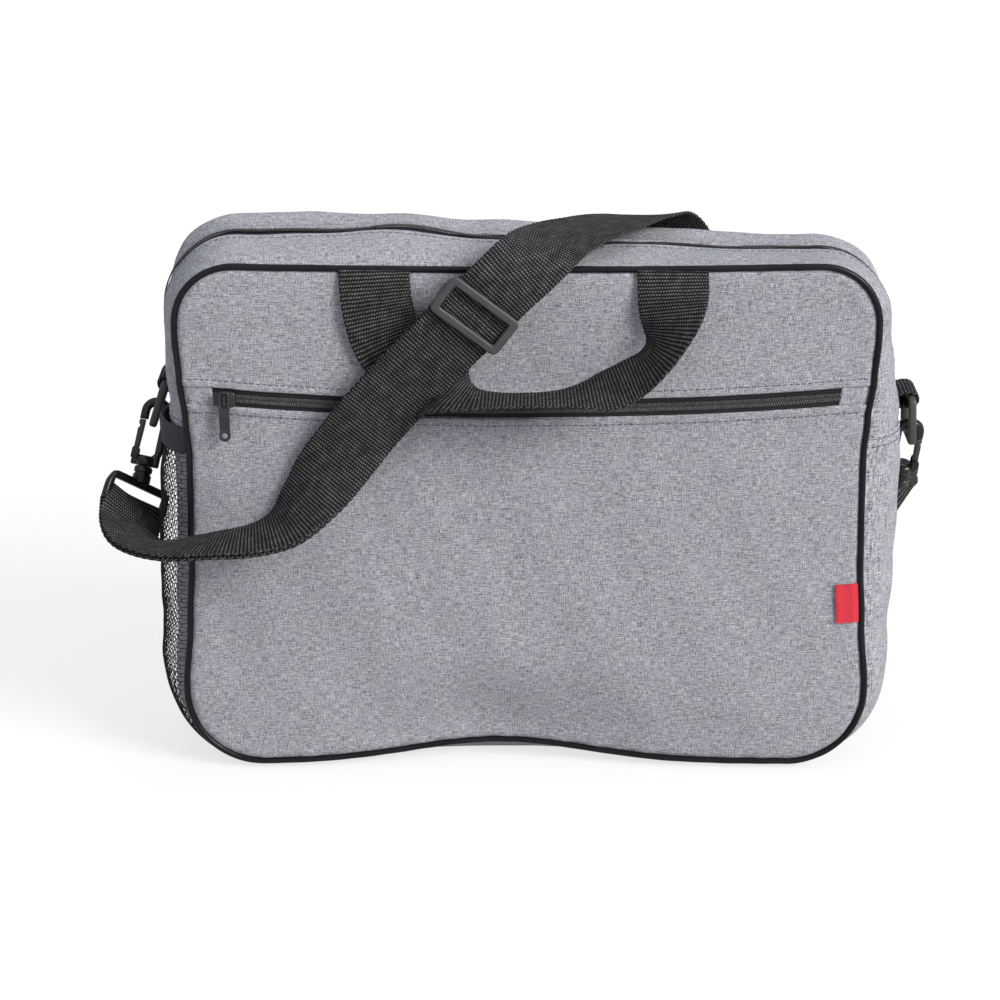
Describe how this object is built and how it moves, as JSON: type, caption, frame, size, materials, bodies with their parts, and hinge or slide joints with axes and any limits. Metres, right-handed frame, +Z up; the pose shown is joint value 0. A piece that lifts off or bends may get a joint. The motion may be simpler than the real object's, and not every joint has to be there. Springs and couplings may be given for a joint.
{
  "type": "laptop bag",
  "caption": "Soft zipped laptop bag in heathered cloth with piped edges, a front zip pocket, a hanging web handle, a net side pocket and a shoulder strap on snap hooks.",
  "frame": {"origin": "on the floor under the middle of the flat base", "axes": "+Z up, the piped front with its zip pocket towards -Y, +X to the wearer's right as seen from the front"},
  "size_m": [0.4654, 0.1786, 0.3133],
  "materials": {
    "heather_cloth": "heathered grey polyester canvas, matt",
    "piping_vinyl": "black vinyl piping, satin",
    "black_webbing": "ribbed polypropylene webbing, matt",
    "pocket_net": "open knitted net",
    "elastic_binding": "ribbed elastic binding, matt",
    "zip_tape": "woven zip tape with a nylon coil",
    "zip_metal": "dark painted zip slider, satin",
    "grey_plastic": "dark grey moulded plastic, satin",
    "black_plastic": "black moulded acetal, semi-gloss",
    "red_label": "plain red woven tag"
  },
  "bodies": {
    "bag": {"gusset_lower": "heather_cloth", "gusset_top_front": "heather_cloth", "gusset_top_back": "heather_cloth", "main_zip": "zip_tape", "piping_front": "piping_vinyl", "piping_back": "piping_vinyl", "front_upper": "heather_cloth", "front_lower": "heather_cloth", "back_panel": "heather_cloth", "pocket_zip": "zip_tape", "zip_tab_left": "heather_cloth", "zip_tab_right": "heather_cloth", "mesh_pocket": "pocket_net", "mesh_binding": "elastic_binding", "label_tag": "red_label", "handle": "black_webbing", "left_ring_tab": "black_webbing", "left_ring": "grey_plastic", "left_hook": "black_plastic", "left_hook_loop": "black_plastic", "right_ring_tab": "black_webbing", "right_ring": "grey_plastic", "right_hook": "black_plastic", "right_hook_loop": "black_plastic", "shoulder_strap": "black_webbing", "strap_slider": "grey_plastic", "pocket_zip_slider": "zip_metal", "main_zip_slider": "zip_metal"},
    "pocket_pull": {"pocket_zip_pull": "zip_metal"},
    "left_gate": {"left_hook_gate": "black_plastic"},
    "right_gate": {"right_hook_gate": "black_plastic"}
  },
  "joints": [
    {"name": "pocket_pull_swing", "type": "hinge", "parent": "bag", "child": "pocket_pull", "pos_m": [-0.163, -0.04792, 0.22573], "axis": [-1, 0, 0], "range_deg": [0, 150]},
    {"name": "left_gate_press", "type": "hinge", "parent": "bag", "child": "left_gate", "pos_m": [-0.21964, 0.01361, 0.17232], "axis": [0, 0.9034, -0.4287], "range_deg": [0, 20], "stiffness_Nm_per_rad": 0.05, "springref_deg": -5.73},
    {"name": "right_gate_press", "type": "hinge", "parent": "bag", "child": "right_gate", "pos_m": [0.22142, 0.02314, 0.1625], "axis": [0, -0.9071, -0.421], "range_deg": [0, 20], "stiffness_Nm_per_rad": 0.05, "springref_deg": -5.73}
  ]
}
